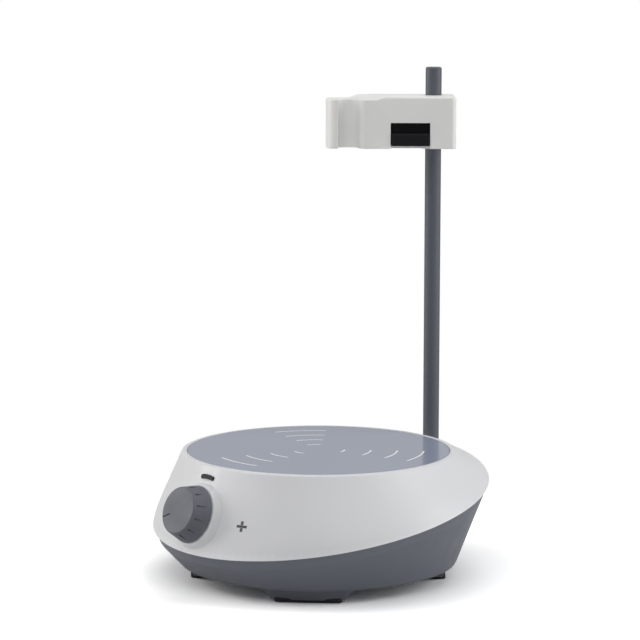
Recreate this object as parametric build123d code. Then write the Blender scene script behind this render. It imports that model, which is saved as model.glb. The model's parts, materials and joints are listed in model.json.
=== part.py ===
from build123d import *
import os
from math import cos, hypot, radians, sin

# A magnetic stirrer for a laboratory bench, in millimetres. The stirring plate's axis is at
# x = y = 0 and the floor is at z = 0; the speed knob faces -Y and the rod stands at +Y.

# Stirring plate and the rim it sits in
PLATE_TOP = 77.0
PLATE_R = 80.0
PLATE_T = 3.7
GASKET_T = 0.6
RIM_R = 83.0
RIM_FILLET = 1.5
LEDGE_R = 73.0
LEDGE_T = 2.5
PLATE_GAP = 0.15

# Casing. Front and rear points of each tilted ring are (y, z).
WALL = 2.5
PART_FRONT, PART_REAR = (-100.0, 26.6), (103.4, 65.4)
CREASE_FRONT, CREASE_REAR = (-96.4, 20.6), (100.8, 60.0)
BASE_FRONT, BASE_REAR = (-83.8, 8.3), (84.0, 8.3)
BASE_Z = BASE_FRONT[1]
BASE_FILLET = 3.5
LIP_RECESS = 1.0
FLOOR_TOP = BASE_Z + WALL
# Side curves of the white shell, as (share of the drop, share of the outward step)
FRONT_CURVE = ((0.0, 0.0), (0.36, 0.39), (0.80, 0.95), (1.0, 1.0))
REAR_CURVE = ((0.0, 0.0), (0.42, 0.40), (0.62, 0.96), (1.0, 1.0))
STATIONS = 8
TONGUE_IN, TONGUE_OUT, TONGUE_H = 5.4, 3.8, 1.2

# Feet and the housing screws hidden behind them
FOOT_ANGLES = (53, 127, 225, 315)
FOOT_NAMES = ("rear_right", "rear_left", "front_left", "front_right")
FOOT_Z = 1.6
FOOT_HALF_BOTTOM, FOOT_HALF_TOP = 22.0, 32.0
FOOT_IN_R, FOOT_OUT_R, FOOT_TOP_R = 64.0, 77.0, 79.8
PAD_LENGTH, PAD_DEPTH, PAD_RECESS, PAD_R = 40.0, 10.5, 0.8, 71.2
POST_ANGLES = (45, 135, 225, 315)
POST_R, POST_RING, POST_SPLIT_Z = 4.2, 72.0, 34.0
SCREW_HEAD_Z = 14.0

# Speed knob on its sloping boss
KNOB_TILT = 20.2
KNOB_CENTRE = (0.0, -93.5, 48.5)
KNOB_REAR_R, KNOB_FRONT_R = 17.3, 14.0
KNOB_FROM, KNOB_TO, KNOB_FILLET = 4.3, 15.4, 1.2
KNOB_HOLLOW_R, KNOB_HOLLOW_DEPTH, KNOB_HUB_R, KNOB_HUB_FROM = 12.8, 7.5, 5.2, 3.8
KNOB_GROOVES, GROOVE_TURN = 12, 21.0
GROOVE_FROM, GROOVE_TO, GROOVE_DEPTH, GROOVE_WIDTH = 2.0, 7.8, 0.95, 1.1
KNOB_POINTER = 208.0
COLLAR_TOP_R, COLLAR_BASE_R, COLLAR_H = 18.6, 20.6, 3.6
PANEL_BACK, PANEL_R = -2.6, 28.7
SHAFT_R, BUSHING_R, BUSHING_TOP = 3.0, 3.5, 7.2
SHAFT_ROUND, SHAFT_FLAT = 15.0, 5.2
KNOB_PLANE = Plane(
    origin=KNOB_CENTRE,
    x_dir=(1, 0, 0),
    z_dir=(0, -cos(radians(KNOB_TILT)), sin(radians(KNOB_TILT))),
)

# Indicator window above the knob, an arc about the knob's axis
LENS_R, LENS_HALF_H, LENS_HALF_ANGLE = 23.7, 1.35, 10.6
LENS_FRONT, LENS_FLANGE, LENS_FLANGE_BACK = 0.75, 0.8, -3.8

# Motor and the magnet rotor
MOTOR_R, MOTOR_BOTTOM, MOTOR_TOP = 21.0, 24.0, 50.0
BRACKET_R, BRACKET_T = 38.5, 1.5
BRACKET_POST_RING = 34.0
MOTOR_SCREW_RING = 15.0
BRACKET_ANGLES = (30, 150, 270)
MOTOR_SHAFT_R, BEARING_R, BEARING_H = 2.5, 5.0, 3.0
RUNNING_GAP = 0.03
YOKE_Z, YOKE_T, YOKE_LENGTH, YOKE_WIDTH = 60.0, 3.0, 58.0, 18.0
MAGNET_R, MAGNET_H, MAGNET_RING = 7.5, 7.0, 21.0

# Control board and the power inlet
BOARD_Z, BOARD_T = 20.0, 1.6
BOARD_HALF_X, BOARD_FROM_Y, BOARD_TO_Y = 38.0, 30.0, 70.0
BOARD_HOLES = [(x, y) for x in (-33, 33) for y in (35, 65)]
JACK_Z, JACK_SHOULDER_Y, JACK_FACE_Y = 27.0, 84.5, 86.5
JACK_R, JACK_BORE_R, JACK_BORE_DEPTH, JACK_PIN_R = 4.0, 3.15, 9.0, 1.0
JACK_RECESS_R = 7.0

# Support rod
ROD_Y, ROD_R = 93.0, 5.0
ROD_TOP, ROD_SHOULDER_Z, ROD_STUD_Z = 306.5, 57.0, 50.0
ROD_STUD_R, INSERT_R = 2.5, 3.6
ROD_BOSS_R, ROD_BOSS_Z = 9.0, 44.0

# Electrode holder. Its own x axis runs from the rod to the tip, and its y axis to the front.
HOLDER_TURN = -130.4
HOLDER_BOTTOM, HEAD_TOP, HOLDER_TOP = 257.0, 287.4, 289.1
RAMP_LENGTH = 5.3
HOLDER_END, HOLDER_TIP, HOLDER_FRONT, HOLDER_BACK = -13.4, 66.8, 20.0, -13.4
CHANNEL_X, CHANNEL_Y, CHANNEL_R = 53.2, 13.5, 6.0
LIP_R = 6.5
NOTCH_FROM, NOTCH_TO, NOTCH_TOP = 2.6, 27.0, 273.0
COVER_T = 1.5
BUSH_R = 7.0
BUTTON_TRAVEL = 3.0
SPRING_X, SPRING_Z, SPRING_R, SPRING_WIRE_R = 17.5, 262.8, 1.9, 0.3
HOLDER = Pos(0, ROD_Y, 0) * Rot(0, 0, HOLDER_TURN)


def save(name, shape):
    """Write one node's STEP file."""
    solids = shape.solids()
    export_step(solids[0] if len(solids) == 1 else Compound(solids), f"parts/{name}.step")


def cylinder(radius, z_low, z_high, x=0.0, y=0.0):
    """An upright cylinder between two heights."""
    return Pos(x, y, z_low) * extrude(Circle(radius), z_high - z_low)


def tube(outer, inner, z_low, z_high, x=0.0, y=0.0):
    """An upright tube between two heights."""
    return Pos(x, y, z_low) * extrude(Circle(outer) - Circle(inner), z_high - z_low)


def block(x_range, y_range, z_range):
    """A box between three pairs of limits."""
    sizes = [high - low for low, high in (x_range, y_range, z_range)]
    return Pos(x_range[0], y_range[0], z_range[0]) * Box(*sizes, align=(Align.MIN,) * 3)


def around(radius, angles):
    """Centres on a circle about the plate's axis."""
    return [(radius * cos(radians(a)), radius * sin(radians(a))) for a in angles]


def joined(shapes):
    """Separate solids kept together as one node."""
    return Compound([solid for shape in shapes for solid in shape.solids()])


def on_knob(shape, height=0.0):
    """Place a shape in the knob's frame, height millimetres out along its axis."""
    return KNOB_PLANE.location * Pos(0, 0, height) * shape


# ---------------------------------------------------------------- casing
def ring_plane(front, rear):
    """The tilted plane through a ring's front and rear points, and the ring's radius."""
    step_y, step_z = rear[0] - front[0], rear[1] - front[1]
    length = hypot(step_y, step_z)
    centre = (0, (front[0] + rear[0]) / 2, (front[1] + rear[1]) / 2)
    plane = Plane(origin=centre, x_dir=(1, 0, 0), z_dir=(0, -step_z / length, step_y / length))
    return plane, length / 2


def ring(front, rear, inset=0.0):
    """A disc whose edge runs through a front and a rear point."""
    plane, radius = ring_plane(front, rear)
    return plane * Circle(radius - inset)


def curve_point(start, end, curve, share, depth):
    """A point on a side curve from start to end, moved inward by depth along its normal."""
    weights = ((1 - share) ** 3, 3 * share * (1 - share) ** 2, 3 * share**2 * (1 - share), share**3)
    drop = sum(w * p[0] for w, p in zip(weights, curve))
    step = sum(w * p[1] for w, p in zip(weights, curve))
    rates = (3 * (1 - share) ** 2, 6 * share * (1 - share), 3 * share**2)
    drop_rate = sum(r * (b[0] - a[0]) for r, a, b in zip(rates, curve, curve[1:]))
    step_rate = sum(r * (b[1] - a[1]) for r, a, b in zip(rates, curve, curve[1:]))
    run, fall = end[0] - start[0], end[1] - start[1]
    along_y, along_z = step_rate * run, drop_rate * fall
    length = hypot(along_y, along_z)
    side = 1 if run > 0 else -1
    y = start[0] + step * run + side * depth * along_z / length
    z = start[1] + drop * fall - side * depth * along_y / length
    return y, z


def upper_form(depth=0.0):
    """The white shell's outer form, or the form that lies depth inside it."""
    sections = []
    for index in range(STATIONS):
        share = index / (STATIONS - 1)
        front = curve_point((-RIM_R, PLATE_TOP), PART_FRONT, FRONT_CURVE, share, depth)
        rear = curve_point((RIM_R, PLATE_TOP), PART_REAR, REAR_CURVE, share, depth)
        sections.append(ring(front, rear))
    return loft(sections)


def lower_form():
    """The grey shell's outer form: a recessed lip above the ridge of a straight tapering wall."""
    lip = loft([ring(PART_FRONT, PART_REAR, LIP_RECESS), ring(CREASE_FRONT, CREASE_REAR)], ruled=True)
    wall = loft([ring(CREASE_FRONT, CREASE_REAR), ring(BASE_FRONT, BASE_REAR)], ruled=True)
    return lip + fillet(wall.edges().sort_by(Axis.Z)[0], BASE_FILLET)


def lower_cavity():
    """The hollow of the grey shell, from the parting plane down to its floor."""
    crease_front, crease_rear = (CREASE_FRONT[0] + 3.2, 21.6), (CREASE_REAR[0] - 2.8, 60.4)
    floor_front, floor_rear = (BASE_FRONT[0] + 2.9, FLOOR_TOP), (BASE_REAR[0] - 2.4, FLOOR_TOP)
    top = loft([ring(PART_FRONT, PART_REAR, WALL), ring(crease_front, crease_rear)], ruled=True)
    bottom = loft([ring(crease_front, crease_rear), ring(floor_front, floor_rear)], ruled=True)
    return top + bottom


def knob_boss(form):
    """The raised collar round the knob and the flat panel behind it."""
    height = COLLAR_H - PANEL_BACK
    collar = loft([Circle(COLLAR_BASE_R), Pos(0, 0, height) * Circle(COLLAR_TOP_R)], ruled=True)
    collar = fillet(collar.edges().sort_by(Axis.Z)[-1], 0.8)
    panel = on_knob(extrude(Circle(PANEL_R), 12), PANEL_BACK)
    return on_knob(collar, PANEL_BACK), panel & form


def lens_sector(extra=0.0):
    """The indicator window's outline: an arc-shaped slot with round ends."""
    half = radians(LENS_HALF_ANGLE)
    ends = [(LENS_R * sin(s * half), LENS_R * cos(s * half)) for s in (-1, 1)]
    middle = CenterArc((0, 0), LENS_R, 90 - LENS_HALF_ANGLE, 2 * LENS_HALF_ANGLE)
    width = LENS_HALF_H + extra
    caps = [Pos(x, y) * Circle(width) for x, y in ends]
    slot = trace(middle, 2 * width)
    return slot + caps[0] + caps[1]


def make_upper_shell():
    form = upper_form()
    top_edge = form.edges().sort_by(Axis.Z)[-1]
    form = fillet(top_edge, RIM_FILLET)
    ledge_top = PLATE_TOP - PLATE_T - GASKET_T
    cavity = upper_form(WALL) & cylinder(2 * RIM_R, 0, ledge_top - LEDGE_T)
    shell = form - cavity - cylinder(LEDGE_R, 0, PLATE_TOP)
    posts = [
        cylinder(POST_R, POST_SPLIT_Z, ledge_top, x, y) for x, y in around(POST_RING, POST_ANGLES)
    ]
    collar, panel = knob_boss(form)
    shell = shell + posts + collar + panel
    shell -= cylinder(PLATE_R + PLATE_GAP, ledge_top, PLATE_TOP + 1)
    for x, y in around(POST_RING, POST_ANGLES):
        shell -= cylinder(1.25, POST_SPLIT_Z, POST_SPLIT_Z + 13, x, y)
    shell -= on_knob(extrude(Circle(BUSHING_R), COLLAR_H + 6), -5)
    shell -= on_knob(extrude(lens_sector(), 8), -5)
    shell -= on_knob(extrude(lens_sector(LENS_FLANGE), 5), PANEL_BACK - 5)
    shell -= on_knob(Pos(0, LENS_R - 0.6, 0) * extrude(Rectangle(15, 6.2), 8), LENS_FLANGE_BACK - 8)
    shell -= cylinder(ROD_R + 0.1, ROD_BOSS_Z, PLATE_TOP + 1, 0, ROD_Y)
    return shell


def foot_form():
    """One foot of the grey shell, pointing along +X, with concave flanks."""
    low, high = (FOOT_HALF_BOTTOM, FOOT_Z), (FOOT_HALF_TOP, BASE_Z)
    sag = (low[0] + 3.4, low[1] + 4.2)
    top = BASE_Z + 2
    outline = Curve() + [
        Line((-low[0], low[1]), low),
        ThreePointArc(low, sag, high),
        Line(high, (high[0], top)),
        Line((high[0], top), (-high[0], top)),
        Line((-high[0], top), (-high[0], high[1])),
        ThreePointArc((-high[0], high[1]), (-sag[0], sag[1]), (-low[0], low[1])),
    ]
    bar = extrude(Plane.YZ.offset(FOOT_IN_R - 5) * make_face(outline), 30)
    section = Polyline(
        (FOOT_IN_R, FOOT_Z),
        (FOOT_OUT_R, FOOT_Z),
        (FOOT_TOP_R, BASE_Z),
        (FOOT_TOP_R, top),
        (FOOT_IN_R, top),
        close=True,
    )
    return bar & revolve(Plane.XZ * make_face(section), Axis.Z)


def foot_pad():
    """The rubber pad under one foot, pointing along +X."""
    pad = Pos(PAD_R, 0, 0) * extrude(RectangleRounded(PAD_DEPTH, PAD_LENGTH, 3), FOOT_Z + PAD_RECESS)
    return fillet(pad.edges().group_by(Axis.Z)[0], 0.5)


def pad_pocket():
    """The shallow pocket in a foot that holds its pad, pointing along +X."""
    depth = PAD_RECESS
    return Pos(PAD_R, 0, FOOT_Z) * extrude(RectangleRounded(PAD_DEPTH, PAD_LENGTH, 3), depth)


def make_lower_shell():
    form = lower_form()
    shell = form - lower_cavity()
    plane, radius = ring_plane(PART_FRONT, PART_REAR)
    shell += extrude(plane * (Circle(radius - TONGUE_OUT) - Circle(radius - TONGUE_IN)), TONGUE_H)
    shell += extrude(plane * (Circle(radius - WALL) - Circle(radius - TONGUE_IN)), -TONGUE_H)
    for angle in FOOT_ANGLES:
        shell += Rot(0, 0, angle) * foot_form()
        shell -= Rot(0, 0, angle) * pad_pocket()
    for x, y in around(POST_RING, POST_ANGLES):
        shell += cylinder(POST_R, SCREW_HEAD_Z - 5, POST_SPLIT_Z, x, y)
        shell -= cylinder(1.7, SCREW_HEAD_Z, POST_SPLIT_Z, x, y)
        shell -= cylinder(3.1, FOOT_Z, SCREW_HEAD_Z, x, y)
    for x, y in around(BRACKET_POST_RING, BRACKET_ANGLES):
        shell += tube(4.0, 1.25, BASE_Z + 1, MOTOR_TOP, x, y)
    for x, y in BOARD_HOLES:
        shell += tube(3.0, 1.0, BASE_Z + 1, BOARD_Z, x, y)
    boss = cylinder(ROD_BOSS_R, ROD_BOSS_Z, 80, 0, ROD_Y) & form
    rib_low = cylinder(INSERT_R + 1.2, ROD_BOSS_Z, ROD_STUD_Z, 0, ROD_Y) & form
    shell += boss + rib_low
    shell -= cylinder(ROD_R, ROD_SHOULDER_Z, 80, 0, ROD_Y)
    shell -= cylinder(INSERT_R, ROD_STUD_Z, ROD_SHOULDER_Z, 0, ROD_Y)
    inlet_pad = block((-10, 10), (JACK_SHOULDER_Y, 100), (JACK_Z - 9, JACK_Z + 9)) & form
    jack_rest = block((-6, 6), (74, JACK_SHOULDER_Y), (BASE_Z + 1, JACK_Z - 5.5)) & form
    shell += inlet_pad + jack_rest
    inward = Plane(origin=(0, JACK_FACE_Y, JACK_Z), x_dir=(1, 0, 0), z_dir=(0, 1, 0))
    shell -= extrude(inward * Circle(JACK_R), -(JACK_FACE_Y - JACK_SHOULDER_Y))
    shell -= extrude(inward * Circle(JACK_RECESS_R), 20)
    return shell


def make_plate():
    plate = cylinder(PLATE_R, PLATE_TOP - PLATE_T, PLATE_TOP)
    return fillet(plate.edges().sort_by(Axis.Z)[-1], 0.4)


def make_casing():
    ledge_top = PLATE_TOP - PLATE_T - GASKET_T
    save("upper_shell", make_upper_shell())
    save("lower_shell", make_lower_shell())
    save("stirring_plate", make_plate())
    save("plate_gasket", tube(PLATE_R - 0.5, LEDGE_R + 0.5, ledge_top, ledge_top + GASKET_T))
    for angle, name in zip(FOOT_ANGLES, FOOT_NAMES):
        save(f"foot_pad_{name}", Rot(0, 0, angle) * foot_pad())
    screws = [
        cylinder(2.7, SCREW_HEAD_Z - 2.2, SCREW_HEAD_Z, x, y)
        + cylinder(1.25, SCREW_HEAD_Z, POST_SPLIT_Z + 12, x, y)
        for x, y in around(POST_RING, POST_ANGLES)
    ]
    save("housing_screws", joined(screws))


# ---------------------------------------------------------------- speed control
def d_shaft(radius, flat, height):
    """A round shaft with one flat, standing on its own base plane."""
    return extrude(Circle(radius) & Pos(0, -flat / 2) * Rectangle(4 * radius, 2 * radius + flat), height)


def knob_groove(depth):
    """A tapering notch in the knob's side, deepest towards the front, pointing along +X."""
    def side_r(z):
        return KNOB_REAR_R + (KNOB_FRONT_R - KNOB_REAR_R) * z / depth

    near, far = depth - GROOVE_FROM, depth - GROOVE_TO
    outline = Polyline(
        (side_r(far), far),
        (side_r(near) - GROOVE_DEPTH, near),
        (side_r(near) + 1, near),
        (side_r(far) + 1, far),
        close=True,
    )
    return extrude(Plane.XZ * make_face(outline), GROOVE_WIDTH / 2, both=True)


def make_knob():
    depth = KNOB_TO - KNOB_FROM
    body = loft([Circle(KNOB_REAR_R), Pos(0, 0, depth) * Circle(KNOB_FRONT_R)], ruled=True)
    body = fillet(body.edges().sort_by(Axis.Z)[-1], KNOB_FILLET)
    body -= extrude(Circle(KNOB_HOLLOW_R) - Circle(KNOB_HUB_R), KNOB_HOLLOW_DEPTH)
    body -= extrude(Circle(KNOB_HUB_R), KNOB_HUB_FROM)
    body -= Pos(0, 0, KNOB_HUB_FROM) * d_shaft(SHAFT_R, SHAFT_R, SHAFT_FLAT)
    for index in range(KNOB_GROOVES):
        body -= Rot(0, 0, GROOVE_TURN + index * 360 / KNOB_GROOVES) * knob_groove(depth)
    pointer = Pos(KNOB_FRONT_R - 3.2, 0, depth) * Box(7.0, 1.2, 1.4)
    return on_knob(body - Rot(0, 0, KNOB_POINTER) * pointer, KNOB_FROM)


def make_speed_control():
    save("speed_knob", make_knob())
    shaft = extrude(Circle(SHAFT_R), SHAFT_ROUND)
    shaft += Pos(0, 0, SHAFT_ROUND) * d_shaft(SHAFT_R, SHAFT_R, SHAFT_FLAT)
    save("potentiometer_shaft", on_knob(shaft, KNOB_FROM + KNOB_HUB_FROM - SHAFT_ROUND))
    bushing_length = BUSHING_TOP - PANEL_BACK
    body = extrude(Circle(8.5), -9) + extrude(Circle(BUSHING_R), bushing_length)
    body -= Pos(0, 0, -8) * extrude(Circle(SHAFT_R + 0.05), 8 + bushing_length)
    save("potentiometer", on_knob(body, PANEL_BACK))
    save("potentiometer_washer", on_knob(extrude(Circle(6.2) - Circle(BUSHING_R), 0.5), COLLAR_H))
    nut = extrude(RegularPolygon(5.7, 6) - Circle(BUSHING_R), 2.2)
    save("potentiometer_nut", on_knob(nut, COLLAR_H + 0.5))


def make_indicator():
    lens = on_knob(extrude(lens_sector(), LENS_FRONT - PANEL_BACK), PANEL_BACK)
    flange = on_knob(extrude(lens_sector(LENS_FLANGE), PANEL_BACK - LENS_FLANGE_BACK), LENS_FLANGE_BACK)
    save("indicator_lens", lens + flange)
    leds = [
        on_knob(Pos(x, LENS_R - 0.4, 0) * extrude(Rectangle(2.4, 2.0), 0.9), LENS_FLANGE_BACK - 0.9)
        for x in (-3, 3)
    ]
    save("indicator_leds", joined(leds))
    board = Pos(0, LENS_R - 0.6, 0) * extrude(Rectangle(14, 5.6), -1.0)
    save("indicator_board", on_knob(board, LENS_FLANGE_BACK - 0.9))


# ---------------------------------------------------------------- drive
def make_motor():
    can = cylinder(MOTOR_R, MOTOR_BOTTOM, MOTOR_TOP - 1.5)
    can -= cylinder(MOTOR_R - 1.2, MOTOR_BOTTOM + 1.5, MOTOR_TOP - 1.5)
    seat_z = MOTOR_BOTTOM + 1.5
    can += tube(BEARING_R + 2, BEARING_R, seat_z, seat_z + BEARING_H)
    save("motor_can", can)
    flange = cylinder(MOTOR_R, MOTOR_TOP - 1.5, MOTOR_TOP)
    upper_z = MOTOR_TOP - 1.0 - BEARING_H
    flange += cylinder(BEARING_R + 2, upper_z, MOTOR_TOP)
    flange -= cylinder(BEARING_R, upper_z, upper_z + BEARING_H)
    flange -= cylinder(BEARING_R - 1, upper_z, MOTOR_TOP)
    for x, y in around(MOTOR_SCREW_RING, POST_ANGLES):
        flange -= cylinder(1.25, MOTOR_TOP - 1.5, MOTOR_TOP, x, y)
    save("motor_flange", flange)
    bearings = [
        tube(BEARING_R, MOTOR_SHAFT_R + RUNNING_GAP, z, z + BEARING_H) for z in (seat_z, upper_z)
    ]
    save("motor_bearings", joined(bearings))
    stator = tube(MOTOR_R - 1.2, 12.5, 30, 43)
    for angle in range(0, 360, 60):
        stator -= Rot(0, 0, angle) * block((12, 17.5), (-2.5, 2.5), (29, 44))
    save("motor_stator", stator)
    save("motor_rotor", tube(12.0, MOTOR_SHAFT_R, 30, 43))
    save("motor_shaft", cylinder(MOTOR_SHAFT_R, seat_z + 0.3, YOKE_Z + 2))


def make_bracket():
    top = MOTOR_TOP + BRACKET_T
    bracket = cylinder(BRACKET_R, MOTOR_TOP, top) - cylinder(BEARING_R + 2, MOTOR_TOP, top)
    for x, y in around(MOTOR_SCREW_RING, POST_ANGLES):
        bracket -= cylinder(1.6, MOTOR_TOP, top, x, y)
    for x, y in around(BRACKET_POST_RING, BRACKET_ANGLES):
        bracket -= cylinder(1.6, MOTOR_TOP, top, x, y)
    save("motor_bracket", bracket)
    motor_screws = [
        cylinder(2.7, top, top + 1.6, x, y) + cylinder(1.25, MOTOR_TOP - 1.5, top, x, y)
        for x, y in around(MOTOR_SCREW_RING, POST_ANGLES)
    ]
    save("motor_screws", joined(motor_screws))
    bracket_screws = [
        cylinder(2.8, top, top + 2, x, y) + cylinder(1.25, MOTOR_TOP - 12, top, x, y)
        for x, y in around(BRACKET_POST_RING, BRACKET_ANGLES)
    ]
    save("bracket_screws", joined(bracket_screws))


def make_rotor():
    yoke = Pos(0, 0, YOKE_Z) * extrude(SlotOverall(YOKE_LENGTH, YOKE_WIDTH), YOKE_T)
    yoke += cylinder(7.0, YOKE_Z - 5, YOKE_Z)
    yoke -= cylinder(MOTOR_SHAFT_R, YOKE_Z - 5, YOKE_Z + 2)
    across = Plane(origin=(0, MOTOR_SHAFT_R, YOKE_Z - 2.6), x_dir=(1, 0, 0), z_dir=(0, 1, 0))
    yoke -= extrude(across * Circle(1.5), 6)
    save("magnet_yoke", yoke)
    save("yoke_set_screw", extrude(across * Circle(1.5), 4))
    magnet_z = YOKE_Z + YOKE_T
    magnets = [
        cylinder(MAGNET_R, magnet_z, magnet_z + MAGNET_H, x, 0) for x in (-MAGNET_RING, MAGNET_RING)
    ]
    save("drive_magnets", joined(magnets))


# ---------------------------------------------------------------- control board and inlet
def make_board():
    top = BOARD_Z + BOARD_T
    middle_y, length_y = (BOARD_FROM_Y + BOARD_TO_Y) / 2, BOARD_TO_Y - BOARD_FROM_Y
    board = Pos(0, middle_y, BOARD_Z) * extrude(Rectangle(2 * BOARD_HALF_X, length_y), BOARD_T)
    for x, y in BOARD_HOLES:
        board -= cylinder(1.2, BOARD_Z, top, x, y)
    save("control_board", board)
    capacitors = [cylinder(4.0, top, top + 10, x, 62) for x in (-22, -12)]
    save("board_capacitors", joined(capacitors))
    save("board_inductor", tube(5.5, 2.0, top, top + 6, 22, 60))
    chips = [
        block((-6, 2), (42, 50), (top, top + 1.6)),
        block((12, 20), (40, 46), (top, top + 2.4)),
        block((-24, -16), (38, 44), (top, top + 2.0)),
    ]
    save("board_chips", joined(chips))
    headers = [
        block((x, x + 10), (31, 35.5), (top, top + 6)) for x in (-18, 4)
    ]
    save("board_headers", joined(headers))
    screws = [
        cylinder(2.2, top, top + 1.5, x, y) + cylinder(1.0, BOARD_Z - 6, top, x, y)
        for x, y in BOARD_HOLES
    ]
    save("board_screws", joined(screws))


def make_inlet():
    face = Plane(origin=(0, JACK_FACE_Y, JACK_Z), x_dir=(1, 0, 0), z_dir=(0, 1, 0))
    shoulder = JACK_FACE_Y - JACK_SHOULDER_Y
    body = block((-7, 7), (72.5, JACK_SHOULDER_Y), (JACK_Z - 5.5, JACK_Z + 5.5))
    body += extrude(face * Circle(JACK_R), -shoulder)
    body -= extrude(face * Circle(JACK_BORE_R), -JACK_BORE_DEPTH)
    pin = extrude(face * Circle(JACK_PIN_R), -(JACK_BORE_DEPTH + 3))
    pin -= extrude(face * Circle(JACK_PIN_R + 1), -0.6)
    body_hole = extrude(face * Circle(JACK_PIN_R), -(JACK_BORE_DEPTH + 3))
    save("power_jack", body - body_hole)
    save("power_jack_pin", pin)


# ---------------------------------------------------------------- rod and electrode holder
def make_rod():
    rod = cylinder(ROD_R, ROD_SHOULDER_Z, ROD_TOP, 0, ROD_Y)
    rod = fillet(rod.edges().sort_by(Axis.Z)[-1], 1.2)
    rod += cylinder(ROD_STUD_R, ROD_STUD_Z + 0.5, ROD_SHOULDER_Z, 0, ROD_Y)
    save("support_rod", rod)
    save("rod_insert", tube(INSERT_R, ROD_STUD_R, ROD_STUD_Z, ROD_SHOULDER_Z, 0, ROD_Y))


def holder_outline():
    """The holder's plan: a block round the rod and an arm with the electrode channel."""
    corner = 3.0
    lip_x = CHANNEL_X + CHANNEL_R
    bend = HOLDER_TIP - lip_x
    start_x = CHANNEL_X - CHANNEL_R - LIP_R
    lean = sin(radians(45))
    end, tip, front, back = HOLDER_END, HOLDER_TIP, HOLDER_FRONT, HOLDER_BACK
    tip_front_y, tip_back_y, tip_back_r = 11.4, 4.0, 8.0
    edges = [
        Line((end + corner, front), (start_x, front)),
        ThreePointArc(
            (start_x, front),
            (start_x + LIP_R * lean, CHANNEL_Y + LIP_R * lean),
            (start_x + LIP_R, CHANNEL_Y),
        ),
        ThreePointArc(
            (start_x + LIP_R, CHANNEL_Y), (CHANNEL_X, CHANNEL_Y - CHANNEL_R), (lip_x, CHANNEL_Y)
        ),
        Line((lip_x, CHANNEL_Y), (lip_x, tip_front_y + bend)),
        ThreePointArc(
            (tip - bend, tip_front_y + bend),
            (tip - bend + bend * lean, tip_front_y + bend * lean),
            (tip, tip_front_y),
        ),
        Line((tip, tip_front_y), (tip, tip_back_y)),
        ThreePointArc(
            (tip, tip_back_y),
            (tip - tip_back_r * (1 - lean), tip_back_y - tip_back_r * lean),
            (tip - tip_back_r, tip_back_y - tip_back_r),
        ),
        Spline(
            (tip - tip_back_r, tip_back_y - tip_back_r), (33, back), tangents=[(-1, 0), (-1, 0)]
        ),
        Line((33, back), (end + corner, back)),
        ThreePointArc(
            (end + corner, back),
            (end + corner * (1 - lean), back + corner * (1 - lean)),
            (end, back + corner),
        ),
        Line((end, back + corner), (end, front - corner)),
        ThreePointArc(
            (end, front - corner),
            (end + corner * (1 - lean), front - corner * (1 - lean)),
            (end + corner, front),
        ),
    ]
    return make_face(Curve() + edges)


def riser():
    """The upper slab of the block round the rod, with a curved ramp down to the arm."""
    far, step = 40, HOLDER_TOP - HEAD_TOP
    edges = [
        Line((-far, -far), (-far, far)),
        Line((-far, far), (34, far)),
        Line((34, far), (34, HOLDER_FRONT + 1)),
        Spline((34, HOLDER_FRONT + 1), (38.5, 12), (46, 4), (53.5, -12)),
        Line((53.5, -12), (53.5, -far)),
        Line((53.5, -far), (-far, -far)),
    ]
    slab = extrude(make_face(Curve() + edges), step + 3)
    ramp_edges = slab.edges().group_by(Axis.Z)[-1].filter_by_position(Axis.X, 30, 60)
    return Pos(0, 0, HEAD_TOP - 3) * chamfer(ramp_edges, step, RAMP_LENGTH)


def make_holder_body():
    outline = holder_outline()
    body = Pos(0, 0, HOLDER_BOTTOM) * extrude(outline, HEAD_TOP - HOLDER_BOTTOM)
    body = fillet(body.edges().group_by(Axis.Z)[-1], 1.0)
    body = fillet(body.edges().group_by(Axis.Z)[0], 0.8)
    raised = Pos(0, 0, HEAD_TOP - 3) * extrude(outline, HOLDER_TOP - HEAD_TOP + 3)
    raised = fillet(raised.edges().group_by(Axis.Z)[-1], 1.6)
    body += raised & riser()
    body -= block((-8.2, 9.0), (-10.9, 12.2), (HOLDER_BOTTOM - 1, NOTCH_TOP))
    body -= block((9.0, NOTCH_TO), (-6.2, 12.2), (HOLDER_BOTTOM - 1, NOTCH_TOP))
    body -= block((NOTCH_FROM, NOTCH_TO), (12.2, 40), (HOLDER_BOTTOM - 1, NOTCH_TOP))
    body -= block((9.0, NOTCH_TO), (-10.9, -6.2), (HOLDER_BOTTOM - 1, HOLDER_BOTTOM + COVER_T))
    body -= cylinder(BUSH_R + 0.05, NOTCH_TOP, HEAD_TOP - 1)
    body -= cylinder(ROD_R + 0.3, HEAD_TOP - 1, HOLDER_TOP)
    for x in (13, 23):
        body -= cylinder(0.8, HOLDER_BOTTOM, HOLDER_BOTTOM + 7, x, -8.6)
    return body


def make_release_button():
    slab_z = (HOLDER_BOTTOM + COVER_T + 0.3, 266.4)
    slab = block((-7.6, 8.4), (-7.5, 11.9), slab_z) + block((8.4, 26.4), (-2.9, 11.9), slab_z)
    ledge = block((3.0, 26.4), (11.9, 21.2), slab_z)
    ledge = fillet(ledge.edges().group_by(Axis.Y)[-1], 0.8)
    wall = block((3.4, 26.4), (10.0, 14.0), (slab_z[1], NOTCH_TOP - 0.4))
    button = slab + ledge + wall
    hole = SlotCenterToCenter(BUTTON_TRAVEL + 0.2, 2 * (ROD_R + 0.05))
    slot = Pos(0, (BUTTON_TRAVEL + 0.2) / 2, slab_z[0]) * Rot(0, 0, 90) * extrude(hole, 20)
    across = Plane(origin=(SPRING_X, -2.9, SPRING_Z), x_dir=(1, 0, 0), z_dir=(0, 1, 0))
    return button - slot - extrude(across * Circle(SPRING_R + SPRING_WIRE_R + 0.2), 8)


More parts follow.
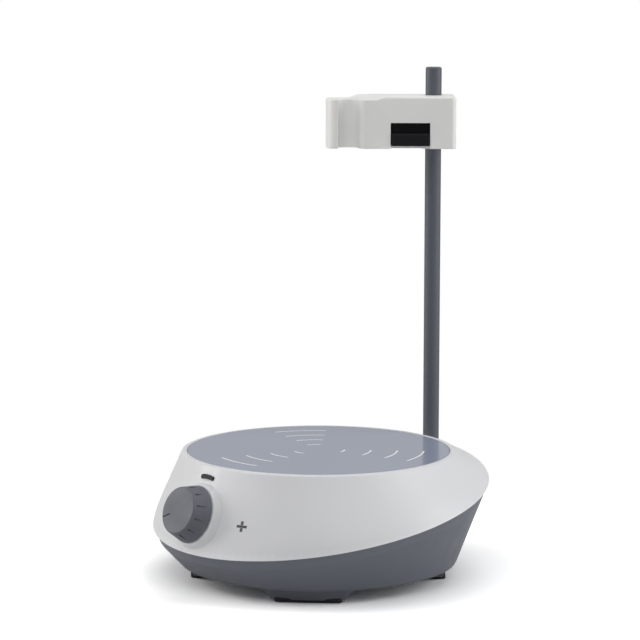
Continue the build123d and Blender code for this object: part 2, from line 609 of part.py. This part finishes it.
def make_spring():
    """A compression spring between the holder's inner wall and the button's blind hole."""
    length = 11.0 - 2 * SPRING_WIRE_R
    path = Helix(pitch=length / 6, height=length, radius=SPRING_R)
    wire = sweep(Plane(origin=path @ 0, z_dir=path % 0) * Circle(SPRING_WIRE_R), path=path)
    upright = Plane(
        origin=(SPRING_X, -6.2 + SPRING_WIRE_R, SPRING_Z), x_dir=(1, 0, 0), z_dir=(0, 1, 0)
    )
    return upright.location * wire


def make_holder():
    save("holder_body", HOLDER * make_holder_body())
    cover = block((-8.2, NOTCH_TO), (-10.9, 12.2), (HOLDER_BOTTOM, HOLDER_BOTTOM + COVER_T))
    cover -= cylinder(6.25, HOLDER_BOTTOM, HOLDER_BOTTOM + COVER_T)
    for x in (13, 23):
        cover -= cylinder(1.0, HOLDER_BOTTOM, HOLDER_BOTTOM + COVER_T, x, -8.6)
    save("holder_cover", HOLDER * cover)
    screws = [
        cylinder(1.7, HOLDER_BOTTOM - 0.9, HOLDER_BOTTOM, x, -8.6)
        + cylinder(0.8, HOLDER_BOTTOM, HOLDER_BOTTOM + 6.5, x, -8.6)
        for x in (13, 23)
    ]
    save("cover_screws", HOLDER * joined(screws))
    bore = ROD_R + RUNNING_GAP
    save("guide_bush_upper", HOLDER * tube(BUSH_R, bore, NOTCH_TOP + 0.2, HEAD_TOP - 1.2))
    lower = tube(6.2, bore, HOLDER_BOTTOM, HOLDER_BOTTOM + COVER_T)
    lower += tube(7.4, bore, HOLDER_BOTTOM - 0.9, HOLDER_BOTTOM - 0.1)
    lower += tube(6.2, bore, HOLDER_BOTTOM - 0.1, HOLDER_BOTTOM)
    save("guide_bush_lower", HOLDER * lower)
    save("release_button", HOLDER * make_release_button())
    save("button_spring", HOLDER * make_spring())


os.makedirs("parts", exist_ok=True)
make_casing()
make_speed_control()
make_indicator()
make_motor()
make_bracket()
make_rotor()
make_board()
make_inlet()
make_rod()
make_holder()
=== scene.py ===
import bpy
import bmesh
import json
import math
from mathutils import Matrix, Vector
from mathutils.bvhtree import BVHTree


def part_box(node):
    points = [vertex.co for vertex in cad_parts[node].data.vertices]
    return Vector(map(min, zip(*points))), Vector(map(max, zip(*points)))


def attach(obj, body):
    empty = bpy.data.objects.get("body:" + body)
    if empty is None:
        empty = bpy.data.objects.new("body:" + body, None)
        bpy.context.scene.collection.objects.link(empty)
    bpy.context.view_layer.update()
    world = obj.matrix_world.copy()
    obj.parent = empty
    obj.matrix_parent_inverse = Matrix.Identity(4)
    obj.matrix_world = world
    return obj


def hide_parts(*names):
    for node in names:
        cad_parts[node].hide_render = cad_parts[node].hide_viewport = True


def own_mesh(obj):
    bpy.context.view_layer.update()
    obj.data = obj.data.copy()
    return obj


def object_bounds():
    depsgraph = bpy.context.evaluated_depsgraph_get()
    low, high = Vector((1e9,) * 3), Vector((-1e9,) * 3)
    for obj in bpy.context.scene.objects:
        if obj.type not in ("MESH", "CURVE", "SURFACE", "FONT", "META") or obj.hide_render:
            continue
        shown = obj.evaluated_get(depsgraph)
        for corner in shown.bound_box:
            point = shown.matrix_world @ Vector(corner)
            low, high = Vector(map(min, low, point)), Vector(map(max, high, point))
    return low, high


# Looks of a magnetic stirrer: studio, camera, materials, the printed marks that the CAD nodes leave
# out, and a coil spring that stands for the CAD one. Lengths are in metres, in the frame of the CAD
# model; the constants for marks, arcs and coil are in millimetres and are scaled by MM.
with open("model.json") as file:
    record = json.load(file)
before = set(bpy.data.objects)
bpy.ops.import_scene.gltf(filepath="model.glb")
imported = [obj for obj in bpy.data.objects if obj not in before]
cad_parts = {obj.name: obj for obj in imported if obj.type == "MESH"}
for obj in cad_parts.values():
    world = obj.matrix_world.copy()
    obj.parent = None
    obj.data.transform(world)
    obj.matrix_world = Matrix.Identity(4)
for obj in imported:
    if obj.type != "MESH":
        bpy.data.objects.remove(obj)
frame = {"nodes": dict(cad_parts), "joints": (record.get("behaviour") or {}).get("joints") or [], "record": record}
CAD_LOW, CAD_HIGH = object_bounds()
MM = 0.001

# Camera: seen from the front right, a little above the bench
VIEW_AZIMUTH, VIEW_ELEVATION = 49.59, 7.92
VIEW_DISTANCE = 1.6472
VIEW_OFFSET = Vector((-7.8, 8.5, 1.7)) * MM
VIEW_ROLL = 0.12
SENSOR, LENS = 36.0, 152.16
FLOOR_BOUNCE, FLOOR_SEEN = 0.8, 1.6
FLOOR_FADE = (0.12, 0.34)
FLOOR_HALF = 6.0
FLOOR_GAP = 0.0002
WORLD_LIGHT, WORLD_MIRRORED = 0.08, 0.5

# Printed centring arcs on the stirring plate
ARC_RADII = (16, 32, 48, 64)
ARC_DIRECTIONS = (-90, 30, 150)
ARC_HALF_ANGLE = 15.2
ARC_STROKE = 1.1
PRINT_T = 0.05

# Printed speed marks on the white shell, either side of the knob
MARK_TURN = 21.6
MARK_BELOW_PLATE = 30.1
MARK_ARM, MARK_STROKE = 3.4, 1.75
MARK_WALL_R = 0.094
MARK_WALL_RISE = 0.36
MARK_SHORTENING = 0.94
MARK_LIFT = 0.034
RAY_REACH = 0.2

# Coil spring behind the release button
COIL_TURNS, COIL_LENGTH, COIL_RADIUS, COIL_WIRE = 7, 10.9, 1.9, 0.29
COIL_SPRUNG_SHARE = 0.84
COIL_STEPS_PER_TURN, WIRE_SIDES = 24, 8


# ---------------------------------------------------------------- studio
def aim(obj, target):
    """Turn a camera or lamp so that it looks at a point."""
    direction = target - obj.location
    obj.rotation_euler = direction.to_track_quat("-Z", "Y").to_euler()


def make_camera():
    """The view point, on the line from the middle of the object."""
    a, e = math.radians(VIEW_AZIMUTH), math.radians(VIEW_ELEVATION)
    back = Vector((math.sin(a) * math.cos(e), -math.cos(a) * math.cos(e), math.sin(e)))
    target = (CAD_LOW + CAD_HIGH) / 2 + VIEW_OFFSET
    data = bpy.data.cameras.new("camera")
    data.sensor_width, data.lens = SENSOR, LENS
    data.clip_start, data.clip_end = 0.05, 50
    camera = bpy.data.objects.new("camera", data)
    bpy.context.scene.collection.objects.link(camera)
    camera.location = target + back * VIEW_DISTANCE
    aim(camera, target)
    camera.rotation_euler.rotate_axis("Z", math.radians(VIEW_ROLL))
    bpy.context.scene.camera = camera


def soft_light(name, place, size, power, target=(0, 0, 0.12), colour=(1, 1, 1)):
    """A rectangular soft box that looks at a point."""
    data = bpy.data.lights.new(name, "AREA")
    data.shape = "RECTANGLE"
    data.size, data.size_y = size
    data.energy, data.color = power, colour
    lamp = bpy.data.objects.new(name, data)
    bpy.context.scene.collection.objects.link(lamp)
    lamp.location = place
    aim(lamp, Vector(target))


def make_world():
    """A pale surround: dim as a light, brighter where a gloss surface mirrors it."""
    world = bpy.data.worlds.new("studio")
    bpy.context.scene.world = world
    world.use_nodes = True
    tree = world.node_tree
    tree.nodes.clear()
    out = tree.nodes.new("ShaderNodeOutputWorld")
    surround = tree.nodes.new("ShaderNodeBackground")
    path = tree.nodes.new("ShaderNodeLightPath")
    surround.inputs["Color"].default_value = (1, 1, 1, 1)
    mirrored = remap(tree, path.outputs["Is Glossy Ray"], WORLD_LIGHT, WORLD_MIRRORED, 0.0, 1.0)
    seen = tree.nodes.new("ShaderNodeMath")
    seen.operation = "MAXIMUM"
    tree.links.new(mirrored, seen.inputs[0])
    tree.links.new(path.outputs["Is Camera Ray"], seen.inputs[1])
    tree.links.new(seen.outputs[0], surround.inputs["Strength"])
    tree.links.new(surround.outputs[0], out.inputs["Surface"])


def floor_material():
    """Matt white paper that runs out to plain white away from the object."""
    material = bpy.data.materials.new("floor_white")
    material.use_nodes = True
    tree = material.node_tree
    tree.nodes.clear()
    out = tree.nodes.new("ShaderNodeOutputMaterial")
    paper = tree.nodes.new("ShaderNodeBsdfDiffuse")
    path = tree.nodes.new("ShaderNodeLightPath")
    level = remap(tree, path.outputs["Is Camera Ray"], FLOOR_BOUNCE, FLOOR_SEEN, 0.0, 1.0)
    tree.links.new(level, paper.inputs["Color"])
    place = tree.nodes.new("ShaderNodeTexCoord")
    reach = tree.nodes.new("ShaderNodeVectorMath")
    reach.operation = "LENGTH"
    tree.links.new(place.outputs["Object"], reach.inputs[0])
    away = remap(tree, reach.outputs["Value"], 0.0, 1.0, *FLOOR_FADE)
    white = tree.nodes.new("ShaderNodeEmission")
    white.inputs["Strength"].default_value = 1.0
    share = tree.nodes.new("ShaderNodeMath")
    share.operation = "MULTIPLY"
    tree.links.new(away, share.inputs[0])
    tree.links.new(path.outputs["Is Camera Ray"], share.inputs[1])
    mix = tree.nodes.new("ShaderNodeMixShader")
    tree.links.new(share.outputs[0], mix.inputs["Fac"])
    tree.links.new(paper.outputs[0], mix.inputs[1])
    tree.links.new(white.outputs[0], mix.inputs[2])
    tree.links.new(mix.outputs[0], out.inputs["Surface"])
    return material


def make_floor():
    """A plain pale floor, wide enough to run out of view."""
    mesh = bpy.data.meshes.new("floor")
    half = FLOOR_HALF
    corners = [(-half, -half, 0), (half, -half, 0), (half, half, 0), (-half, half, 0)]
    mesh.from_pydata(corners, [], [(0, 1, 2, 3)])
    floor = bpy.data.objects.new("floor", mesh)
    bpy.context.scene.collection.objects.link(floor)
    floor.location.z = CAD_LOW.z - FLOOR_GAP
    mesh.materials.append(floor_material())


def make_studio():
    make_camera()
    make_world()
    make_floor()
    soft_light("top_box", (0.0, 0.4, 1.9), (1.6, 1.6), 12)
    soft_light("left_box", (-1.3, -1.2, 0.7), (0.9, 1.4), 15, colour=(1, 0.985, 0.96))
    soft_light("right_box", (1.3, 1.2, 0.7), (0.9, 1.4), 16)
    soft_light("front_box", (1.1, -1.0, 1.7), (1.4, 1.4), 10)
    soft_light("over_knob", (-0.2, -1.0, 1.8), (1.2, 1.2), 6)
    bpy.context.scene.view_settings.view_transform = "Standard"


# ---------------------------------------------------------------- materials
def new_material(name, colour, roughness, metallic=0.0, specular=0.5):
    """An empty Principled material and its node tree."""
    material = bpy.data.materials.new(name)
    material.use_nodes = True
    tree = material.node_tree
    shader = tree.nodes["Principled BSDF"]
    shader.inputs["Base Color"].default_value = (*colour, 1)
    shader.inputs["Roughness"].default_value = roughness
    shader.inputs["Metallic"].default_value = metallic
    shader.inputs["Specular IOR Level"].default_value = specular
    return material, tree, shader


def noise(tree, scale, detail=3.0, stretch=(1, 1, 1)):
    """Noise in object space; scale is features per metre."""
    place = tree.nodes.new("ShaderNodeTexCoord")
    mapping = tree.nodes.new("ShaderNodeMapping")
    mapping.inputs["Scale"].default_value = stretch
    texture = tree.nodes.new("ShaderNodeTexNoise")
    texture.inputs["Scale"].default_value = scale
    texture.inputs["Detail"].default_value = detail
    tree.links.new(place.outputs["Object"], mapping.inputs["Vector"])
    tree.links.new(mapping.outputs["Vector"], texture.inputs["Vector"])
    return texture.outputs["Fac"]


def remap(tree, value, low, high, from_low=0.3, from_high=0.7):
    """A value stretched from one range to another and held inside it."""
    node = tree.nodes.new("ShaderNodeMapRange")
    node.inputs["From Min"].default_value = from_low
    node.inputs["From Max"].default_value = from_high
    node.inputs["To Min"].default_value = low
    node.inputs["To Max"].default_value = high
    tree.links.new(value, node.inputs["Value"])
    return node.outputs["Result"]


def blend_colours(tree, share, first, second):
    """Two colours mixed by a value; either may be a socket."""
    mix = tree.nodes.new("ShaderNodeMix")
    mix.data_type = "RGBA"
    tree.links.new(share, mix.inputs["Factor"])
    for colour, name in ((first, "A"), (second, "B")):
        socket = next(s for s in mix.inputs if s.name == name and s.type == "RGBA")
        if isinstance(colour, tuple):
            socket.default_value = (*colour, 1)
        else:
            tree.links.new(colour, socket)
    return next(s for s in mix.outputs if s.type == "RGBA")


def bump(tree, shader, height, strength, distance):
    """Fine relief from a height value; distance is in metres."""
    node = tree.nodes.new("ShaderNodeBump")
    node.inputs["Strength"].default_value = strength
    node.inputs["Distance"].default_value = distance
    tree.links.new(height, node.inputs["Height"])
    tree.links.new(node.outputs["Normal"], shader.inputs["Normal"])


def scaled(colour, factor):
    """A lighter or darker shade of a colour."""
    return tuple(min(1.0, channel * factor) for channel in colour)


def edge_share(tree, low=0.52, high=0.60):
    """How far a point lies on a convex edge, from 0 to 1."""
    geometry = tree.nodes.new("ShaderNodeNewGeometry")
    return remap(tree, geometry.outputs["Pointiness"], 0.0, 1.0, low, high)


def moulded_plastic(name, colour, roughness, grain=2600, relief=0.10, cloud=0.02, specular=0.5):
    """Moulded plastic: a fine spark-eroded grain, faint clouding, and a painted highlight that lightens its convex
    edges.
    """
    material, tree, shader = new_material(name, colour, roughness, specular=specular)
    clouds = remap(tree, noise(tree, 14, 4), 0.0, 1.0)
    body = blend_colours(tree, clouds, scaled(colour, 1 - cloud), scaled(colour, 1 + cloud))
    # painted highlight: the base colour is made lighter on convex edges
    edge_highlight = blend_colours(tree, edge_share(tree), body, scaled(colour, 1.12))
    tree.links.new(edge_highlight, shader.inputs["Base Color"])
    grain_height = noise(tree, grain, 2)
    tree.links.new(
        remap(tree, noise(tree, 90, 5), roughness - 0.05, roughness + 0.06), shader.inputs["Roughness"]
    )
    bump(tree, shader, grain_height, relief, 0.02 * MM)
    return material


def gloss_plate(name, colour):
    """Glossy plate: clear hard surface with faint wiping marks and depth of colour."""
    material, tree, shader = new_material(name, colour, 0.12, specular=0.42)
    clouds = remap(tree, noise(tree, 9, 3), 0.0, 1.0)
    tree.links.new(
        blend_colours(tree, clouds, scaled(colour, 0.97), scaled(colour, 1.03)),
        shader.inputs["Base Color"],
    )
    wiped = noise(tree, 220, 6, (1.0, 0.12, 1.0))
    tree.links.new(remap(tree, wiped, 0.10, 0.17), shader.inputs["Roughness"])
    bump(tree, shader, noise(tree, 60, 2), 0.06, 0.02 * MM)
    return material


def powder_coat(name, colour, roughness):
    """Powder-coated metal: an orange-peel skin, a little rubbed where a clamp slides."""
    material, tree, shader = new_material(name, colour, roughness, specular=0.35)
    clouds = remap(tree, noise(tree, 40, 4, (1, 1, 0.15)), 0.0, 1.0)
    tree.links.new(
        blend_colours(tree, clouds, scaled(colour, 0.94), scaled(colour, 1.06)),
        shader.inputs["Base Color"],
    )
    rubbed = noise(tree, 260, 4, (1, 1, 0.05))
    tree.links.new(remap(tree, rubbed, roughness - 0.06, roughness + 0.07), shader.inputs["Roughness"])
    bump(tree, shader, noise(tree, 1100, 2), 0.16, 0.03 * MM)
    shader.inputs["Coat Weight"].default_value = 0.08
    shader.inputs["Coat Roughness"].default_value = 0.3
    return material


def brushed_metal(name, colour, roughness, stretch=(1, 1, 0.04)):
    """Machined or brushed metal, with lines along one direction."""
    material, tree, shader = new_material(name, colour, roughness, metallic=1.0)
    lines = noise(tree, 1800, 5, stretch)
    tree.links.new(remap(tree, lines, roughness - 0.08, roughness + 0.12), shader.inputs["Roughness"])
    tree.links.new(
        blend_colours(tree, remap(tree, lines, 0, 1), scaled(colour, 0.86), scaled(colour, 1.08)),
        shader.inputs["Base Color"],
    )
    bump(tree, shader, lines, 0.12, 0.02 * MM)
    return material


def soft_rubber(name, colour):
    """Matt rubber, with its convex edges lightened in colour as a painted highlight."""
    material, tree, shader = new_material(name, colour, 0.78, specular=0.3)
    # painted highlight: the rubber's colour is made lighter on convex edges
    rubber_edge_highlight = blend_colours(tree, edge_share(tree, 0.5, 0.58), colour, scaled(colour, 1.9))
    tree.links.new(rubber_edge_highlight, shader.inputs["Base Color"])
    tree.links.new(remap(tree, noise(tree, 500, 4), 0.70, 0.86), shader.inputs["Roughness"])
    bump(tree, shader, noise(tree, 3200, 2), 0.2, 0.03 * MM)
    return material


def tinted_lens(name, colour, specular):
    """Dark glossy acrylic, slightly uneven where it was moulded."""
    material, tree, shader = new_material(name, colour, 0.08, specular=specular)
    depth = remap(tree, noise(tree, 350, 3), 0.0, 1.0)
    tree.links.new(
        blend_colours(tree, depth, scaled(colour, 0.7), scaled(colour, 1.5)), shader.inputs["Base Color"]
    )
    tree.links.new(remap(tree, noise(tree, 800, 4), 0.05, 0.12), shader.inputs["Roughness"])
    bump(tree, shader, noise(tree, 240, 2), 0.05, 0.02 * MM)
    return material


def solder_mask(name, colour):
    """A circuit board: solder mask over a grid of copper tracks."""
    material, tree, shader = new_material(name, colour, 0.3, specular=0.5)
    place = tree.nodes.new("ShaderNodeTexCoord")
    bricks = tree.nodes.new("ShaderNodeTexBrick")
    bricks.inputs["Scale"].default_value = 160
    bricks.inputs["Mortar Size"].default_value = 0.03
    bricks.inputs["Color1"].default_value = (*colour, 1)
    bricks.inputs["Color2"].default_value = (*scaled(colour, 0.85), 1)
    bricks.inputs["Mortar"].default_value = (*scaled(colour, 1.8), 1)
    tree.links.new(place.outputs["Object"], bricks.inputs["Vector"])
    tree.links.new(bricks.outputs["Color"], shader.inputs["Base Color"])
    tree.links.new(remap(tree, noise(tree, 300, 3), 0.24, 0.36), shader.inputs["Roughness"])
    bump(tree, shader, bricks.outputs["Fac"], 0.2, 0.03 * MM)
    return material


def make_materials():
    """One material for each slot of the record."""
    return {
        "white_plastic": moulded_plastic("white_abs", (0.765, 0.77, 0.79), 0.42),
        "grey_plastic": moulded_plastic("grey_abs", (0.138, 0.151, 0.182), 0.46, relief=0.14),
        "plate_surface": gloss_plate("gloss_plate", (0.318, 0.352, 0.455)),
        "knob_plastic": moulded_plastic("knob_abs", (0.112, 0.121, 0.145), 0.52, relief=0.14),
        "lens_plastic": tinted_lens("tinted_lens", (0.006, 0.006, 0.009), 0.08),
        "rubber": soft_rubber("rubber", (0.018, 0.018, 0.019)),
        "rod_paint": powder_coat("rod_paint", (0.104, 0.112, 0.134), 0.5),
        "holder_plastic": moulded_plastic("holder_abs", (0.88, 0.878, 0.86), 0.42),
        "black_plastic": moulded_plastic("black_abs", (0.006, 0.006, 0.008), 0.55, specular=0.18),
        "bush_plastic": moulded_plastic("acetal", (0.62, 0.62, 0.60), 0.38),
        "steel": brushed_metal("steel", (0.58, 0.58, 0.60), 0.32),
        "aluminium": brushed_metal("aluminium", (0.72, 0.72, 0.74), 0.36, (1, 0.05, 1)),
        "brass": brushed_metal("brass", (0.70, 0.52, 0.22), 0.30),
        "circuit_board": solder_mask("solder_mask", (0.02, 0.16, 0.06)),
        "component_black": moulded_plastic("component_black", (0.02, 0.02, 0.022), 0.5),
        "copper": brushed_metal("copper", (0.66, 0.33, 0.16), 0.34, (1, 1, 0.2)),
        "magnet": brushed_metal("nickel", (0.66, 0.65, 0.62), 0.18),
        "led": tinted_lens("led_clear", (0.55, 0.58, 0.50), 0.4),
        "print_white": moulded_plastic("print_white", (0.94, 0.95, 0.97), 0.30, grain=900),
        "print_grey": moulded_plastic("print_grey", (0.085, 0.088, 0.10), 0.5, grain=1500),
    }


def smooth(obj, angle=32):
    """Smooth shading with real corners kept sharp."""
    mesh = obj.data
    mesh.polygons.foreach_set("use_smooth", [True] * len(mesh.polygons))
    mesh.set_sharp_from_angle(angle=math.radians(angle))


def dress_nodes(materials):
    """Give every CAD node the material of its slot."""
    for row in frame["record"]["subparts"]:
        obj = frame["nodes"][row["node"]]
        obj.data.materials.clear()
        obj.data.materials.append(materials[row["material_slot"]])
        smooth(obj)


# ---------------------------------------------------------------- printed marks and coil
def add_piece(name, mesh, material, body):
    """Link a finished mesh as a piece that rides on a body."""
    piece = bpy.data.objects.new(name, mesh)
    bpy.context.scene.collection.objects.link(piece)
    mesh.materials.append(material)
    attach(piece, body)
    return piece


def thick_sheet(bm, rows, thickness):
    """Close a grid of (outer point, inward normal) rows into a thin solid."""
    top = [[bm.verts.new(p) for p, _ in row] for row in rows]
    low = [[bm.verts.new(p + n * thickness) for p, n in row] for row in rows]
    last_row, last_column = len(rows) - 1, len(rows[0]) - 1
    for i in range(last_row):
        for j in range(last_column):
            bm.faces.new((top[i][j], top[i + 1][j], top[i + 1][j + 1], top[i][j + 1]))
            bm.faces.new((low[i][j], low[i][j + 1], low[i + 1][j + 1], low[i + 1][j]))
    for i in range(last_row):
        bm.faces.new((top[i][0], low[i][0], low[i + 1][0], top[i + 1][0]))
        bm.faces.new((top[i][-1], top[i + 1][-1], low[i + 1][-1], low[i][-1]))
    for j in range(last_column):
        bm.faces.new((top[0][j], top[0][j + 1], low[0][j + 1], low[0][j]))
        bm.faces.new((top[-1][j], low[-1][j], low[-1][j + 1], top[-1][j + 1]))


def arc_rows(radius, direction, height):
    """Points across and along one printed arc, rounded off at its ends."""
    steps = 40
    rows = []
    for i in range(steps + 1):
        along = 2 * i / steps - 1
        end_room = (1 - abs(along)) * math.radians(ARC_HALF_ANGLE) * radius
        half = ARC_STROKE / 2
        short = max(0.0, half - end_room)
        half = math.sqrt(max(0.0, half * half - short * short)) + 0.02
        angle = math.radians(direction + along * ARC_HALF_ANGLE)
        row = []
        for side in (-1, 0, 1):
            reach = (radius + side * half) * MM
            point = Vector((reach * math.cos(angle), reach * math.sin(angle), height))
            row.append((point, Vector((0, 0, -1))))
        rows.append(row)
    return rows


def make_centring_arcs(materials):
    """Three fans of white arcs printed on the stirring plate."""
    low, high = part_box("stirring_plate")
    centre = (low + high) / 2
    mesh = bpy.data.meshes.new("centring_arcs")
    bm = bmesh.new()
    for direction in ARC_DIRECTIONS:
        for radius in ARC_RADII:
            rows = arc_rows(radius, direction, high.z + 0.02 * MM)
            shifted = [[(p + Vector((centre.x, centre.y, 0)), n) for p, n in row] for row in rows]
            thick_sheet(bm, shifted, PRINT_T * MM)
    bmesh.ops.recalc_face_normals(bm, faces=bm.faces)
    bm.to_mesh(mesh)
    bm.free()
    add_piece("centring_arcs", mesh, materials["print_white"], "base")


def surface_of(node):
    """A search tree of a CAD node's surface."""
    bm = bmesh.new()
    bm.from_mesh(frame["nodes"][node].data)
    tree = BVHTree.FromBMesh(bm)
    bm.free()
    return tree


def bar_rows(surface, centre_turn, height, half_along, half_up):
    """A printed bar laid on the shell, half_along wide and half_up tall."""
    steps = 12
    rows = []
    for i in range(steps + 1):
        u = (2 * i / steps - 1) * half_along
        row = []
        for j in range(steps + 1):
            v = (2 * j / steps - 1) * half_up
            turn = math.radians(-90 + centre_turn) + u * MM / MARK_WALL_R
            away = Vector((math.cos(turn), math.sin(turn), MARK_WALL_RISE)).normalized()
            origin = Vector((0, 0, height + v * MM * MARK_SHORTENING)) + away * RAY_REACH
            hit, normal, _, _ = surface.ray_cast(origin, -away)
            row.append((hit + normal * 0.03 * MM, -normal))
        rows.append(row)
    return rows


def make_speed_marks(materials):
    """A plus sign right of the knob and a minus sign left of it."""
    surface = surface_of("upper_shell")
    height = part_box("stirring_plate")[1].z - MARK_BELOW_PLATE * MM
    half = MARK_STROKE / 2
    side = (MARK_ARM - half) / 2
    across = (0, MARK_ARM, half)
    upper, lower = (half + side, half, side), (-half - side, half, side)
    bars = {
        "plus_mark": (MARK_TURN, [across, upper, lower]),
        "minus_mark": (-MARK_TURN, [across]),
    }
    for name, (turn, parts) in bars.items():
        mesh = bpy.data.meshes.new(name)
        bm = bmesh.new()
        for up, half_along, half_up in parts:
            rows = bar_rows(surface, turn, height - MARK_LIFT + up * MM, half_along, half_up)
            thick_sheet(bm, rows, PRINT_T * MM)
        bmesh.ops.recalc_face_normals(bm, faces=bm.faces)
        bm.to_mesh(mesh)
        bm.free()
        add_piece(name, mesh, materials["print_grey"], "base")


def make_button_coil(materials):
    """The coil spring behind the release button, built once with closed end turns."""
    joint = next(j for j in frame["joints"] if j["name"] == "button_press")
    axis = Vector(joint["axis"]).normalized()
    low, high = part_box("button_spring")
    middle = (low + high) / 2
    up = Vector((0, 0, 1))
    side = axis.cross(up).normalized()
    steps = COIL_TURNS * COIL_STEPS_PER_TURN
    run = COIL_LENGTH / 2 - COIL_WIRE
    points = []
    for i in range(steps + 1):
        share = i / steps
        along = max(-1.0, min(1.0, (2 * share - 1) / COIL_SPRUNG_SHARE)) * run
        turn = 2 * math.pi * COIL_TURNS * share
        out = side * math.cos(turn) + up * math.sin(turn)
        points.append((middle + (axis * along + out * COIL_RADIUS) * MM, out))
    mesh = bpy.data.meshes.new("button_coil")
    bm = bmesh.new()
    rings = []
    for point, out in points:
        ring = []
        for k in range(WIRE_SIDES):
            a = 2 * math.pi * k / WIRE_SIDES
            ring.append(bm.verts.new(point + (out * math.cos(a) + axis * math.sin(a)) * COIL_WIRE * MM))
        rings.append(ring)
    for first, second in zip(rings, rings[1:]):
        for k in range(WIRE_SIDES):
            following = (k + 1) % WIRE_SIDES
            bm.faces.new((first[k], first[following], second[following], second[k]))
    bm.faces.new(rings[0])
    bm.faces.new(rings[-1])
    bmesh.ops.recalc_face_normals(bm, faces=bm.faces)
    bm.to_mesh(mesh)
    bm.free()
    coil = add_piece("button_coil", mesh, materials["steel"], "holder")
    smooth(coil)
    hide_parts("button_spring")
    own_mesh(coil)


make_studio()
MATERIALS = make_materials()
dress_nodes(MATERIALS)
make_centring_arcs(MATERIALS)
make_speed_marks(MATERIALS)
make_button_coil(MATERIALS)
